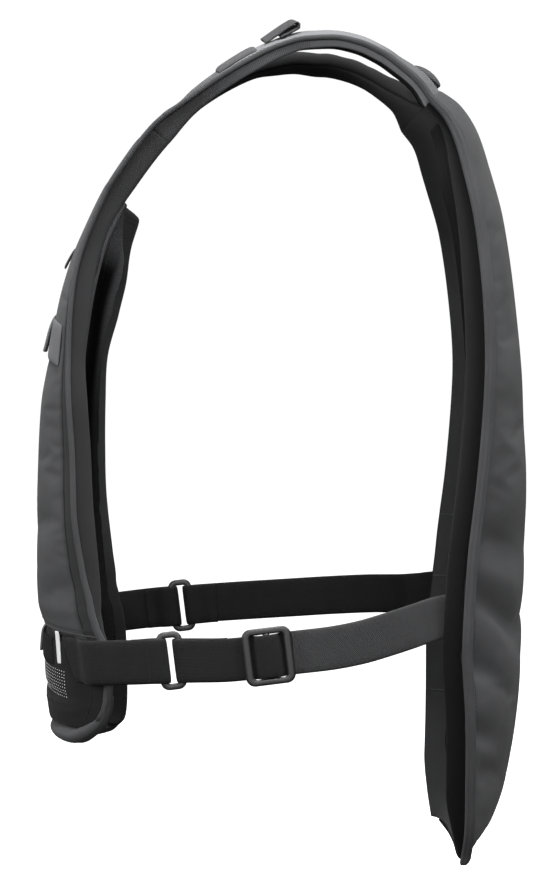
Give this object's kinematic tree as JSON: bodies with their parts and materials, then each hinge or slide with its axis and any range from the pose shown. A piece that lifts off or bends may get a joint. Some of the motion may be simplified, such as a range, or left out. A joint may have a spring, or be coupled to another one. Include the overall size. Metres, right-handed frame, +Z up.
{
  "type": "airbag vest",
  "caption": "Padded vest worn over the shoulders, with a long back panel, split front panels, piped edges, closing bands and webbing side straps with rings and a slider.",
  "frame": {"origin": "midway between the two shoulder straps, at their undersides, where the vest rests on the shoulders", "axes": "+Z up, +X from the chest towards the back (the wearer faces -X), +Y towards the wearer's right"},
  "size_m": [0.409, 0.3022, 0.6958],
  "materials": {
    "shell": "matt woven shell cloth",
    "lining": "black spacer mesh",
    "trim": "sewn binding tape",
    "webbing": "woven webbing",
    "reflective": "white reflective tape",
    "ring": "satin grey",
    "slider": "satin"
  },
  "bodies": {
    "root": {"back_panel": "shell", "front_panel_left": "shell", "front_panel_right": "shell", "shoulder_left": "shell", "shoulder_right": "shell", "shoulder_patch_left": "shell", "shoulder_patch_right": "shell", "back_lining": "lining", "chest_lining_left": "lining", "chest_lining_right": "lining", "edge_piping_left": "trim", "edge_piping_right": "trim", "neck_binding_left": "trim", "neck_binding_right": "trim", "front_hem_left": "trim", "front_hem_right": "trim", "back_hem": "trim", "chest_band": "trim", "chest_tab": "trim", "waist_band": "trim", "waist_flap": "trim", "pull_loop_left": "webbing", "pull_loop_right": "webbing", "hanger_loop": "webbing", "edge_tag": "webbing", "waist_tab_left": "webbing", "waist_tab_right": "webbing", "side_strap_left": "webbing", "side_strap_right": "webbing", "reflective_bar_left": "reflective", "reflective_bar_right": "reflective", "ring_left": "ring", "ring_right": "ring", "slider_left": "slider"}
  },
  "joints": []
}
